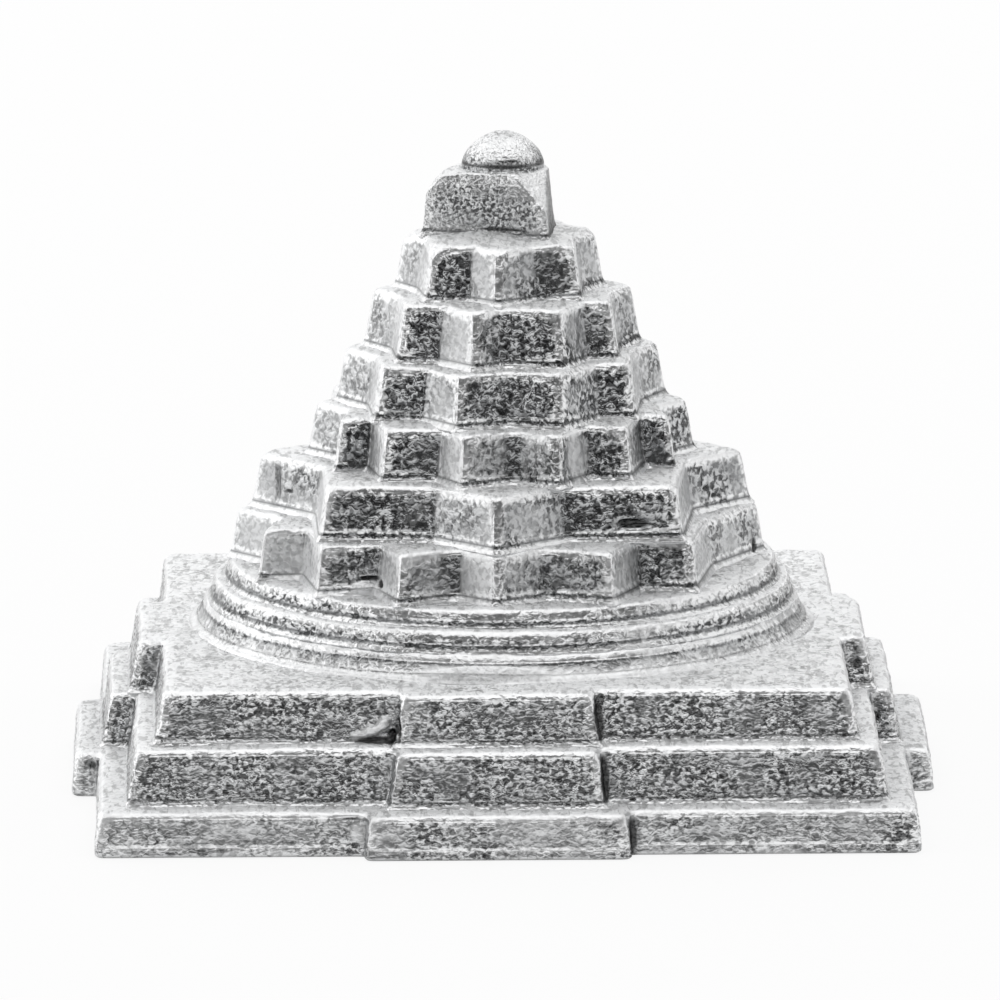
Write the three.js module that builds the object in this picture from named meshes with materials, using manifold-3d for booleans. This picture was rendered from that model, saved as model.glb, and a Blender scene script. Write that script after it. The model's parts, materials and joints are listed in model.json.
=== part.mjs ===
// A small Meru Shri Yantra in cast white metal, built as a stack of fourteen layers.
// From the ground up: three square steps with a gate on each side, three round girdles,
// six tiers of pointed teeth, the central triangle and the bindu, a low dome.
// Units are millimetres, +Z is up and the front looks towards -Y.
// The origin is the middle of the flat underside.

import * as THREE from 'three';
import { mergeVertices } from 'three/addons/utils/BufferGeometryUtils.js';
import Module from 'manifold-3d';

// The square steps. A half width is taken at the rim, and the draft is how far the wall
// has come out at its foot. A gate stands out of the middle of each side.
const lowerStep = {
  name: 'bhupura_lower_step',
  halfWidth: 18.5,
  height: 2.1,
  draft: 0.35,
  gateHalfWidth: 5.95,
  gateOut: 1.05,
  socketHalfWidth: 9,
};
const middleStep = {
  name: 'bhupura_middle_step',
  halfWidth: 17.02,
  height: 2.59,
  draft: 0.3,
  gateHalfWidth: 4.65,
  gateOut: 0.95,
  socketHalfWidth: 8,
};
const upperStep = {
  name: 'bhupura_upper_step',
  halfWidth: 15.7,
  height: 2.41,
  draft: 0.35,
  gateHalfWidth: 4.4,
  gateOut: 0.94,
  socketHalfWidth: 7.2,
};
const frontGateShift = -0.48;

// The round girdles, measured like the steps.
const lowerGirdle = {
  name: 'lower_girdle',
  radius: 14.05,
  height: 1.21,
  draft: 0.5,
  socketHalfWidth: 6.6,
};
const middleGirdle = {
  name: 'middle_girdle',
  radius: 13.48,
  height: 0.95,
  draft: 0.12,
  socketHalfWidth: 6,
};
const upperGirdle = {
  name: 'upper_girdle',
  radius: 12.76,
  height: 0.92,
  draft: 0.12,
  socketHalfWidth: 5.4,
};

// The tiers of teeth. A tier is a star in plan: teeth reach the tip radius, and the notches
// between them go in to the notch radius. The first tooth's bearing is counted in degrees
// from the front towards +X.
const sixteenPetalTier = {
  name: 'sixteen_petal_tier',
  teeth: 16,
  tipRadius: 12.19,
  notchRadius: 10.4,
  height: 2.37,
  draft: 0.2,
  firstTooth: 0,
  socketHalfWidth: 5,
};
const eightPetalTier = {
  name: 'eight_petal_tier',
  teeth: 8,
  tipRadius: 11.26,
  notchRadius: 8.7,
  height: 2.53,
  draft: 0.3,
  firstTooth: 0,
  socketHalfWidth: 4.4,
};
const fourteenCornerTier = {
  name: 'fourteen_corner_tier',
  teeth: 14,
  tipRadius: 8.66,
  notchRadius: 7.4,
  height: 2.46,
  draft: 0.25,
  firstTooth: 15.9,
  socketHalfWidth: 3.8,
};
const outerTenCornerTier = {
  name: 'outer_ten_corner_tier',
  teeth: 10,
  tipRadius: 7.36,
  notchRadius: 6.3,
  height: 2.6,
  draft: 0.3,
  firstTooth: 21.7,
  socketHalfWidth: 3.1,
};
const innerTenCornerTier = {
  name: 'inner_ten_corner_tier',
  teeth: 10,
  tipRadius: 6.03,
  notchRadius: 5.15,
  height: 2.75,
  draft: 0.3,
  firstTooth: 24.5,
  socketHalfWidth: 2.4,
};
const eightCornerTier = {
  name: 'eight_corner_tier',
  teeth: 8,
  tipRadius: 4.53,
  notchRadius: 3.62,
  height: 2.61,
  draft: 0.25,
  firstTooth: 1.5,
  socketHalfWidth: 1.5,
};

// The central triangle shows a flat side to the front and points to the back. Its face
// distance is that from the axis to each side, and its corners are trimmed square.
const centralTriangle = {
  name: 'central_triangle',
  faceDistance: 2.1,
  frontHalfWidth: 2.55,
  backReach: 3,
  height: 3.04,
  draft: 0.35,
  socketHalfWidth: 1,
};

// The bindu is a low round wall with a blunt dome over it. Its fullness is the exponent of
// the dome's outline: 1 is a cone and 2 is an ellipse.
const bindu = {
  name: 'bindu_cap',
  radius: 1.8,
  wallHeight: 0.45,
  height: 1.71,
  draft: 0.08,
  fullness: 1.5,
};

// Every rim is rounded, and every foot has a small fillet. An upright corner that points
// outwards has a radius of topCorner at the flat top, and a larger one below the rim.
const rimRound = 0.3;
const footFlare = 0.1;
const footRise = 0.25;
const topCorner = 0.12;

// A square spigot under each layer drops into a socket in the layer below, so the stack
// can't slide or turn. Only the sides and the floor of the socket have clearance: the
// weight rests on the flat faces round it.
const spigotDepth = 0.5;
const spigotClearance = 0.3;

// How finely round forms are divided.
const girdleSegments = 72;
const binduSegments = 28;
const domeSteps = 6;
const rimSteps = 2;
const cornerSteps = 2;

// Points of one mesh that lie closer than this are the same point.
const weldDistance = 1e-5;

const wasm = await Module();
wasm.setup();

// A point in plan, from its radius and its bearing in degrees from the front towards +X.
function planPoint(radius, bearing) {
  const angle = THREE.MathUtils.degToRad(bearing);
  return new THREE.Vector2(radius * Math.sin(angle), -radius * Math.cos(angle));
}

// The corners of a square with a gate standing out of each side, anticlockwise from above.
function stepCorners({ halfWidth, gateHalfWidth, gateOut }) {
  const origin = new THREE.Vector2();
  const corners = [];
  for (let side = 0; side < 4; side++) {
    const shift = side === 0 ? frontGateShift : 0;
    const front = [
      [-halfWidth, -halfWidth],
      [shift - gateHalfWidth, -halfWidth],
      [shift - gateHalfWidth, -halfWidth - gateOut],
      [shift + gateHalfWidth, -halfWidth - gateOut],
      [shift + gateHalfWidth, -halfWidth],
    ];
    const turn = (side * Math.PI) / 2;
    for (const [x, y] of front) {
      corners.push(new THREE.Vector2(x, y).rotateAround(origin, turn));
    }
  }
  return corners;
}

// The corners of a star, tooth and notch in turn.
function starCorners({ teeth, tipRadius, notchRadius, firstTooth }) {
  const corners = [];
  const pitch = 360 / teeth;
  for (let tooth = 0; tooth < teeth; tooth++) {
    const bearing = firstTooth + tooth * pitch;
    corners.push(planPoint(tipRadius, bearing));
    corners.push(planPoint(notchRadius, bearing + pitch / 2));
  }
  return corners;
}

// The corners of a triangle with equal sides at faceDistance from the axis, its front corners
// trimmed at frontHalfWidth and its back corner at backReach.
function triangleCorners({ faceDistance, frontHalfWidth, backReach }) {
  const slope = Math.sqrt(3);
  const tip = 2 * faceDistance;
  const shoulder = tip - slope * frontHalfWidth;
  const backHalfWidth = (tip - backReach) / slope;
  return [
    new THREE.Vector2(-frontHalfWidth, -faceDistance),
    new THREE.Vector2(frontHalfWidth, -faceDistance),
    new THREE.Vector2(frontHalfWidth, shoulder),
    new THREE.Vector2(backHalfWidth, backReach),
    new THREE.Vector2(-backHalfWidth, backReach),
    new THREE.Vector2(-frontHalfWidth, shoulder),
  ];
}

// The outline with every edge moved inwards by inset, or outwards where it is negative.
// A corner that points outwards becomes an arc, and all its arcs share one upright axis.
function roundedOutline(corners, inset) {
  const origin = new THREE.Vector2();
  const cornerRound = topCorner + rimRound;
  const points = [];
  corners.forEach((corner, i) => {
    const before = corners[(i + corners.length - 1) % corners.length];
    const after = corners[(i + 1) % corners.length];
    const into = corner.clone().sub(before).normalize();
    const outOf = after.clone().sub(corner).normalize();
    const normalIn = new THREE.Vector2(-into.y, into.x);
    const normalOut = new THREE.Vector2(-outOf.y, outOf.x);
    const inward = normalIn.clone().add(normalOut).divideScalar(1 + normalIn.dot(normalOut));
    if (into.cross(outOf) < 0) {
      points.push(corner.clone().addScaledVector(inward, inset));
      return;
    }
    const centre = corner.clone().addScaledVector(inward, cornerRound);
    const sweep = Math.acos(THREE.MathUtils.clamp(normalIn.dot(normalOut), -1, 1));
    for (let step = 0; step <= cornerSteps; step++) {
      const spoke = normalIn.clone().rotateAround(origin, (sweep * step) / cornerSteps);
      points.push(centre.clone().addScaledVector(spoke, inset - cornerRound));
    }
  });
  return points;
}

// The section of a layer's wall from the foot up, as how far in from the rim line and how high.
function wallSection({ height, draft }) {
  const wallTop = height - rimRound;
  const section = [
    { inset: -draft - footFlare, z: 0 },
    { inset: -draft * (1 - footRise / wallTop), z: footRise },
  ];
  for (let step = 0; step <= rimSteps; step++) {
    const angle = (Math.PI / 2) * (step / rimSteps);
    section.push({ inset: rimRound * (1 - Math.cos(angle)), z: wallTop + rimRound * Math.sin(angle) });
  }
  return section;
}

// A closed body whose wall follows the section all the way round the corners.
function layerGeometry(corners, section) {
  const rings = section.map(({ inset }) => roundedOutline(corners, inset));
  const count = rings[0].length;
  const positions = [];
  rings.forEach((ring, level) => {
    ring.forEach((point) => positions.push(point.x, point.y, section[level].z));
  });
  const indices = [];
  for (let level = 0; level < rings.length - 1; level++) {
    for (let i = 0; i < count; i++) {
      const here = level * count + i;
      const next = level * count + ((i + 1) % count);
      indices.push(here, next, next + count, here, next + count, here + count);
    }
  }
  const top = (rings.length - 1) * count;
  for (const [a, b, c] of THREE.ShapeUtils.triangulateShape(rings[rings.length - 1], [])) {
    indices.push(top + a, top + b, top + c);
  }
  for (const [a, b, c] of THREE.ShapeUtils.triangulateShape(rings[0], [])) {
    indices.push(a, c, b);
  }
  const geometry = new THREE.BufferGeometry();
  geometry.setAttribute('position', new THREE.Float32BufferAttribute(positions, 3));
  geometry.setIndex(indices);
  return geometry;
}

// A round body turned from a list of radius and height points that starts and ends on the axis.
function turnedGeometry(profile, segments) {
  const geometry = new THREE.LatheGeometry(profile, segments);
  geometry.rotateX(Math.PI / 2);
  return geometry;
}

// A girdle has the same wall section as the tiers, turned about the axis.
function girdleGeometry(girdle) {
  const wall = wallSection(girdle).map(({ inset, z }) => new THREE.Vector2(girdle.radius - inset, z));
  const profile = [new THREE.Vector2(0, 0), ...wall, new THREE.Vector2(0, girdle.height)];
  return turnedGeometry(profile, girdleSegments);
}

// The bindu's wall, and the dome over it: (r / R) to the fullness plus (z / H) to the fullness is 1.
function binduGeometry({ radius, wallHeight, height, draft, fullness }) {
  const domeHeight = height - wallHeight;
  const profile = [
    new THREE.Vector2(0, 0),
    new THREE.Vector2(radius + draft + footFlare, 0),
    new THREE.Vector2(radius + draft * (1 - footRise / wallHeight), footRise),
  ];
  for (let step = 0; step <= domeSteps; step++) {
    const angle = (Math.PI / 2) * (step / domeSteps);
    const across = Math.pow(Math.cos(angle), 2 / fullness);
    const up = Math.pow(Math.sin(angle), 2 / fullness);
    const onAxis = step === domeSteps;
    profile.push(new THREE.Vector2(onAxis ? 0 : radius * across, wallHeight + domeHeight * up));
  }
  return turnedGeometry(profile, binduSegments);
}

// A square peg on the axis, from the height bottom up to the height top.
function pegGeometry(halfWidth, bottom, top) {
  const geometry = new THREE.BoxGeometry(2 * halfWidth, 2 * halfWidth, top - bottom);
  geometry.translate(0, 0, (bottom + top) / 2);
  return geometry;
}

// The solid that a closed geometry bounds.
function toSolid(geometry) {
  geometry.deleteAttribute('normal');
  geometry.deleteAttribute('uv');
  const merged = mergeVertices(geometry, weldDistance);
  const vertProperties = new Float32Array(merged.attributes.position.array);
  const triVerts = new Uint32Array(merged.index.array);
  return new wasm.Manifold(new wasm.Mesh({ numProp: 3, vertProperties, triVerts }));
}

// The geometry of a solid, with flat shading.
function toGeometry(solid) {
  const mesh = solid.getMesh();
  const geometry = new THREE.BufferGeometry();
  geometry.setAttribute('position', new THREE.BufferAttribute(mesh.vertProperties, 3));
  geometry.setIndex(new THREE.BufferAttribute(mesh.triVerts, 1));
  geometry.computeVertexNormals();
  return geometry;
}

// Gives a layer the socket in its top for the layer above, and the spigot under its foot
// that fits the socket of the layer below. The cutter stands out above the top, and the
// spigot reaches up into the body, so that neither ends on a face of it.
function fitted(geometry, layer, below) {
  let solid = toSolid(geometry);
  if (layer.socketHalfWidth) {
    const floor = layer.height - spigotDepth - spigotClearance;
    const cutter = pegGeometry(layer.socketHalfWidth, floor, layer.height + spigotDepth);
    solid = solid.subtract(toSolid(cutter));
  }
  if (below) {
    const spigotHalfWidth = below.socketHalfWidth - spigotClearance;
    solid = solid.add(toSolid(pegGeometry(spigotHalfWidth, -spigotDepth, footRise)));
  }
  return toGeometry(solid);
}

// Bright cast white metal: the same alloy all over, a little duller on the ground steps,
// where the skin is coarser, and brighter on the rubbed top.
function castMetal(colour, roughness) {
  return new THREE.MeshStandardMaterial({ color: colour, roughness, metalness: 1 });
}
const stepMetal = castMetal(0xb9babc, 0.42);
const girdleMetal = castMetal(0xc6c7c9, 0.38);
const tierMetal = castMetal(0xbfc0c2, 0.4);
const crownMetal = castMetal(0xcbccce, 0.34);

const layers = [
  ...[lowerStep, middleStep, upperStep].map((step) => ({
    size: step,
    geometry: layerGeometry(stepCorners(step), wallSection(step)),
    material: stepMetal,
  })),
  ...[lowerGirdle, middleGirdle, upperGirdle].map((girdle) => ({
    size: girdle,
    geometry: girdleGeometry(girdle),
    material: girdleMetal,
  })),
  ...[
    sixteenPetalTier,
    eightPetalTier,
    fourteenCornerTier,
    outerTenCornerTier,
    innerTenCornerTier,
    eightCornerTier,
  ].map((tier) => ({
    size: tier,
    geometry: layerGeometry(starCorners(tier), wallSection(tier)),
    material: tierMetal,
  })),
  {
    size: centralTriangle,
    geometry: layerGeometry(triangleCorners(centralTriangle), wallSection(centralTriangle)),
    material: crownMetal,
  },
  {
    size: bindu,
    geometry: binduGeometry(bindu),
    material: crownMetal,
  },
];

// Each layer stands on the flat top of the one below.
const group = new THREE.Group();
let seat = 0;
layers.forEach(({ size, geometry, material }, i) => {
  const below = i > 0 ? layers[i - 1].size : null;
  const mesh = new THREE.Mesh(fitted(geometry, size, below), material);
  mesh.name = size.name;
  mesh.position.z = seat;
  group.add(mesh);
  seat += size.height;
});

export default group;
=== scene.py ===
# %% [markdown]
# A small Meru Shri Yantra, cast in bright white metal.
#
# The object is a stepped cone of plates: three square steps with a gate on each side, three round
# girdles, six star-shaped tiers, a central triangle and a domed bindu. Its construction is already
# modelled to size, and this script dresses it: every layer gets a finely meshed skin with soft
# cast edges, a granular surface and the small faults of its casting, and a metal finish.
# Every skin is worked out with numpy, as whole arrays of points, in millimetres.

# %% Load the model that the skins are fitted to
import json
import math

import bpy
import numpy as np
from mathutils import Matrix, Vector


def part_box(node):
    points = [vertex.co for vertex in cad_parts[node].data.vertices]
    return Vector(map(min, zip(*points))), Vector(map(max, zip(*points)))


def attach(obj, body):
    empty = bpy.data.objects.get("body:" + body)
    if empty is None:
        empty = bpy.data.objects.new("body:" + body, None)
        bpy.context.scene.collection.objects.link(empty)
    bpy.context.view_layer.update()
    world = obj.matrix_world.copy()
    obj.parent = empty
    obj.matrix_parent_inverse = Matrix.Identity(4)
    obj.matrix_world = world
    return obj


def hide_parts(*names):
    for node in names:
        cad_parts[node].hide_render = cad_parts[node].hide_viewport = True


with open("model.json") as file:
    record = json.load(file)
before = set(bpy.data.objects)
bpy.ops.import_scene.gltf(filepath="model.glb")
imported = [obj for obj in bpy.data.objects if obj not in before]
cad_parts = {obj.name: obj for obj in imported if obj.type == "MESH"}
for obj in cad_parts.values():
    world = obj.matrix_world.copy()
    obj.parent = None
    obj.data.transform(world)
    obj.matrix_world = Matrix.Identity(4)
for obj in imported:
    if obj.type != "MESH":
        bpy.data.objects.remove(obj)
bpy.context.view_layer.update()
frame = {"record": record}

MM = 0.001
LAYERS_UP = [
    "bhupura_lower_step", "bhupura_middle_step", "bhupura_upper_step",
    "lower_girdle", "middle_girdle", "upper_girdle",
    "sixteen_petal_tier", "eight_petal_tier", "fourteen_corner_tier",
    "outer_ten_corner_tier", "inner_ten_corner_tier", "eight_corner_tier",
    "central_triangle", "bindu_cap",
]
TOP = {name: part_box(name)[1].z / MM for name in LAYERS_UP}
SEAT = dict(zip(LAYERS_UP, [0.0] + [TOP[name] for name in LAYERS_UP]))
print("layers:", len(LAYERS_UP), "height in mm:", round(TOP["bindu_cap"], 2))

# %% [markdown]
# The camera comes first, because some flaws of the casting are placed where it sees them.
#
# A long lens far from the object keeps the upright edges nearly parallel, as in a catalogue
# picture. The distance and the lens were found by matching the widths of the front and the back
# of the square steps: from a nearer camera the back would look much narrower than the front.

# %% The camera
CAMERA_TURN = math.radians(-0.81)
CAMERA_RISE = math.radians(11.43)
CAMERA_ROLL = math.radians(-0.19)
CAMERA_DISTANCE = 564.5
CAMERA_AIM = Vector((-0.07, 0.0, 12.74))
IMAGE_SIDE = 1000
FOCAL_PIXELS = 12045


def camera_axes():
    """The directions right, up and back of a camera turned about the upright axis, raised above
    the horizon and rolled about its own line of sight."""
    turn, rise = CAMERA_TURN, CAMERA_RISE
    back = Vector((math.sin(turn) * math.cos(rise), -math.cos(turn) * math.cos(rise), math.sin(rise)))
    right = Vector((math.cos(turn), math.sin(turn), 0.0))
    roll = Matrix.Rotation(CAMERA_ROLL, 3, back)
    return roll @ right, roll @ back.cross(right), back


def aim_camera():
    """A camera with those axes, at its distance from the point that it looks at."""
    camera = bpy.data.objects.new("camera", bpy.data.cameras.new("camera"))
    bpy.context.scene.collection.objects.link(camera)
    camera.data.lens = FOCAL_PIXELS * camera.data.sensor_width / IMAGE_SIDE
    camera.data.clip_start, camera.data.clip_end = 0.01, 20.0
    axes = camera_axes()
    place = Matrix(axes).transposed().to_4x4()
    place.translation = (CAMERA_AIM + CAMERA_DISTANCE * axes[2]) * MM
    camera.matrix_world = place
    bpy.context.scene.camera = camera
    return camera


camera = aim_camera()
print("lens in mm:", round(camera.data.lens, 1))

# %% [markdown]
# The square steps, the star tiers and the triangle are all made the same way: a closed outline in
# plan, carried up a wall section, as a moulding is run along a wall.
#
# They could be extruded and bevelled, but a bevel is even and its flat faces stay dead flat. Here
# the outline is a list of corners. Moving its edges inwards gives the outline at another height,
# so one short list of "how far in, how high" makes the draft, the rounded rim and the fillet at
# the foot. No corner moves further than LONGEST_MOVE times "how far in", or sharp teeth would
# flare out at the foot. A right angle needs 1.41 times, so it is held back too: on the square
# steps an edge moves in by 0.78 of what the list says, which the widths printed below show.
#
# The points of each ring are then blurred along the ring, which rounds every upright corner,
# inside and outside alike, the way a mould does. Rings near the rim are blurred more, because the
# top of a corner is where hands wear it down.

# %% Outlines in plan
LONGEST_MOVE = 1.1


def inward_moves(corners):
    """How each corner moves when every edge moves inwards by one unit: the sum of the inward
    normals of its two edges over one plus their dot product, cut to LONGEST_MOVE."""
    along = np.roll(corners, -1, 0) - corners
    along = along / np.linalg.norm(along, axis=1, keepdims=True)
    leaving = np.stack([-along[:, 1], along[:, 0]], 1)
    arriving = np.roll(leaving, 1, 0)
    moves = (leaving + arriving) / (1 + (leaving * arriving).sum(1, keepdims=True))
    return moves * np.minimum(1, LONGEST_MOVE / np.linalg.norm(moves, axis=1, keepdims=True))


def blurred_round(grid, reach):
    """Each ring of a grid blurred along itself by a bell curve that is reach steps wide, done as
    a product in the ring's frequencies f: exp(-2 (pi f reach)^2)."""
    frequency = np.fft.fftfreq(grid.shape[1])
    bell = np.exp(-2 * (math.pi * frequency * np.reshape(reach, (-1, 1))) ** 2)
    return np.fft.ifft(np.fft.fft(grid, axis=1) * bell[:, :, None], axis=1).real


def outline_rings(corners, insets, spacing, softness):
    """Points in equal steps round a closed outline, one ring for each inset. A point keeps its
    edge and its share of it, so it moves with the two corners that the edge joins."""
    edges = np.linalg.norm(np.roll(corners, -1, 0) - corners, axis=1)
    ends = np.cumsum(edges)
    count = int(round(ends[-1] / spacing))
    walked = (np.arange(count) + 0.5) * ends[-1] / count
    edge = np.searchsorted(ends, walked, side="right")
    share = ((walked - (ends - edges)[edge]) / edges[edge])[None, :, None]
    moved = corners[None] + inward_moves(corners)[None] * insets[:, None, None]
    rings = moved[:, edge] * (1 - share) + np.roll(moved, -1, 1)[:, edge] * share
    return blurred_round(rings, softness / spacing)


def on_bearing(radius, bearing):
    """Points in plan at a radius and a bearing in degrees, from the front towards +X."""
    angle = np.radians(bearing)
    return np.stack([radius * np.sin(angle), -radius * np.cos(angle)], -1)


square = on_bearing(math.sqrt(50), np.array([-45, 45, 135, 225]))
rings = outline_rings(square, np.array([0.0, 1.0]), spacing=0.1, softness=0.2)
print("widths of a 10 mm square, and drawn in by 1 mm:", np.ptp(rings, axis=1).round(2).tolist())

# %% [markdown]
# A wall leans in slightly towards its top, because the pattern had to leave the mould. A small
# fillet carries its foot out into the ledge that it stands on, and its rim is rounded over, further
# in than down. From the rim the skin goes on inwards as the tread that the next layer stands on,
# fine where it shows and coarse where it is covered, and closes at the axis.

# %% The section of a layer, from under its foot to its tread
FILLET_HEIGHT = 0.16
UNDER_RINGS = np.array([0.12, 0.5, 0.85, 0.97])
COVERED_RINGS = np.array([0.75, 0.4, 0.12])


def smooth_step(value, low, high):
    """0 below low, 1 above high, and 3 t^2 - 2 t^3 between them."""
    t = np.clip((value - low) / (high - low), 0, 1)
    return t * t * (3 - 2 * t)


def wall_section(height, draft, fillet, rim, sink, spacing, foot_round=0.0):
    """How far in from the rim line, and how high, from the foot up. The wall leans evenly by
    draft, its foot adds fillet times exp(-z / FILLET_HEIGHT), and the rim is a quarter of an
    ellipse, so far in and so far down. The foot starts a sink below the seat, so that no crack
    shows under it. A foot_round above 0 rounds the bottom edge as a quarter circle."""
    rim_in, rim_down = rim
    straight = height - rim_down
    wall = np.linspace(-sink, straight, max(4, int((straight + sink) / spacing)))
    risen = np.clip(wall, 0, None)
    turn = np.linspace(0, math.pi / 2, max(4, int(1.3 * rim_in / spacing)) + 1)[1:]
    lean = -draft * (1 - risen / straight) - fillet * np.exp(-risen / FILLET_HEIGHT)
    if foot_round:
        lean = lean + foot_round * (1 - np.sqrt(1 - np.clip(1 - risen / foot_round, 0, 1) ** 2))
    inset = np.concatenate([lean, rim_in * (1 - np.cos(turn))])
    z = np.concatenate([wall, straight + rim_down * np.sin(turn)])
    return inset, z


def with_tread(rings, z, inner_share, spacing, rise):
    """The wall's rings, under them the foot's outline drawn in to UNDER_RINGS of its size, and over
    them the rim's outline drawn in to inner_share of its size, while it climbs by rise. From there
    it goes on level, under the next layer, to COVERED_RINGS of what is left."""
    reach = np.linalg.norm(rings[-1], axis=1).max()
    count = int(reach * (1 - inner_share) / spacing)
    shares = np.concatenate([np.linspace(1, inner_share, count)[1:], inner_share * COVERED_RINGS])
    under = UNDER_RINGS[:, None, None] * rings[0]
    plan = np.concatenate([under, rings, shares[:, None, None] * rings[-1]])
    climb = z[-1] + rise * np.clip((1 - shares) / (1 - inner_share), 0, 1)
    heights = np.concatenate([np.full(len(under), z[0]), z, climb])[:, None, None]
    return np.concatenate([plan, np.broadcast_to(heights, plan.shape[:2] + (1,))], 2)


def shaved(grid, place, facing, softness=0.05):
    """A grid whose points beyond a plane are moved back onto it along its normal. The excess e
    over the plane becomes softness * log(1 + exp(e / softness)), so the new edges are soft."""
    facing = np.array(facing) / np.linalg.norm(facing)
    excess = (grid - np.array(place)) @ facing
    cut = softness * np.logaddexp(0, excess / softness)
    return grid - cut[..., None] * facing


inset, z = wall_section(2.0, draft=0.3, fillet=0.2, rim=(0.4, 0.3), sink=0.1, spacing=0.1)
print(f"a wall 2 mm high: {len(z)} rings, from {-inset[0]:.2f} mm out to {inset[-1]:.2f} mm in")

# %% [markdown]
# A cast skin is never smooth. Three sizes of unevenness are added in the mesh itself: slow
# waves from a hand-made pattern, dents a millimetre or two wide, and the grain of the mould.
# A noise texture with a Displace modifier could do it, but a sum of random plane waves is easy
# to write, has one clear wavelength, and is the same in every run.

# %% Unevenness as a sum of waves
WAVE = dict(length=7.0, height=0.030)
DENT = dict(length=1.3, height=0.014)
GRAIN = dict(length=0.42, height=0.008)


def waves(points, length, seed, count=24):
    """A smooth random field with a spread of 1: the sum of count sine waves about one length
    long, with random directions and phases, times the root of 2 / count."""
    rng = np.random.default_rng(seed)
    direction = rng.normal(size=(count, 3))
    direction /= np.linalg.norm(direction, axis=1, keepdims=True)
    number = 2 * math.pi / (length * rng.uniform(0.75, 1.35, count))
    phase = rng.uniform(0, 2 * math.pi, count)
    field = np.sin(points @ (direction * number[:, None]).T + phase).sum(-1)
    return field * math.sqrt(2 / count)


def grid_normals(grid):
    """Outward unit normals of a grid whose rings run anticlockwise and climb from the foot to the
    tread: the step along the ring crossed with the step to the next ring."""
    around = np.roll(grid, -1, 1) - np.roll(grid, 1, 1)
    across = np.gradient(grid, axis=0)
    normal = np.cross(around, across)
    return normal / np.maximum(np.linalg.norm(normal, axis=2, keepdims=True), 1e-12)


def blurred_across(grid, passes):
    """Each line from the foot to the tread blurred by passes of the weights 1, 2, 1."""
    for _ in range(passes):
        padded = np.concatenate([grid[:1], grid, grid[-1:]])
        grid = (padded[:-2] + 2 * padded[1:-1] + padded[2:]) / 4
    return grid


def roundness(grid, normal, spacing, reach, full):
    """How far the grid stands out of its own blurred copy, along its normal, as a share of full:
    above 0 on edges and corners, below 0 in hollows, and 0 on a flat."""
    steps = reach / spacing
    soft = blurred_across(blurred_round(grid, steps), int(2 * steps**2))
    return np.clip(((grid - soft) * normal).sum(2) / full, -1, 1)


line = np.linspace((0.0, 0.0, 0.0), (70.0, 50.0, 30.0), 5000)
print("spread of the waves:", round(float(waves(line, DENT["length"], seed=0).std()), 2))

# %% [markdown]
# This casting has small faults, which make it this one and no other: a lump of flash in the
# corner beside the front gate with a cold crack under it, a bead in front of the sixteen-petal
# tier, blow holes and slits. Each is a soft bump or pit at a place on the object, and a stain
# where the metal stayed black. A stain below 0 is a place where the metal came out bright instead.
# Some places have only a mark in the colour: painted shadow in the corner beside each front gate,
# painted shade on the triangle's right face, on both sides of the bindu and along the front of its
# neck, and lighter patches on faces of the sixteen-petal and fourteen-corner tiers. Places and
# reaches are in millimetres, x, y and z.


# %% The faults of the casting
def fault(place, reach, swell=0.0, stain_and_painted_light=0.0):
    """A bump of height swell, or a pit where it is below 0, that falls off as exp(-d^4) with the
    distance d from its place in units of its reach, and its mark in the colour: a stain for a fault,
    and painted light and shade where there is only a mark."""
    return dict(place=np.array(place), reach=np.array(reach), swell=swell, stain_and_painted_light=stain_and_painted_light)


def fault_field(grid, faults):
    """The bumps, and the stains and painted light and shade, of all the faults, added up over a grid."""
    swell, stain_and_painted_light = np.zeros(grid.shape[:2]), np.zeros(grid.shape[:2])
    for each in faults:
        distance2 = (((grid - each["place"]) / each["reach"]) ** 2).sum(-1)
        share = np.exp(-(distance2**2))
        swell, stain_and_painted_light = swell + each["swell"] * share, stain_and_painted_light + each["stain_and_painted_light"] * share
    return swell, stain_and_painted_light


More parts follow.
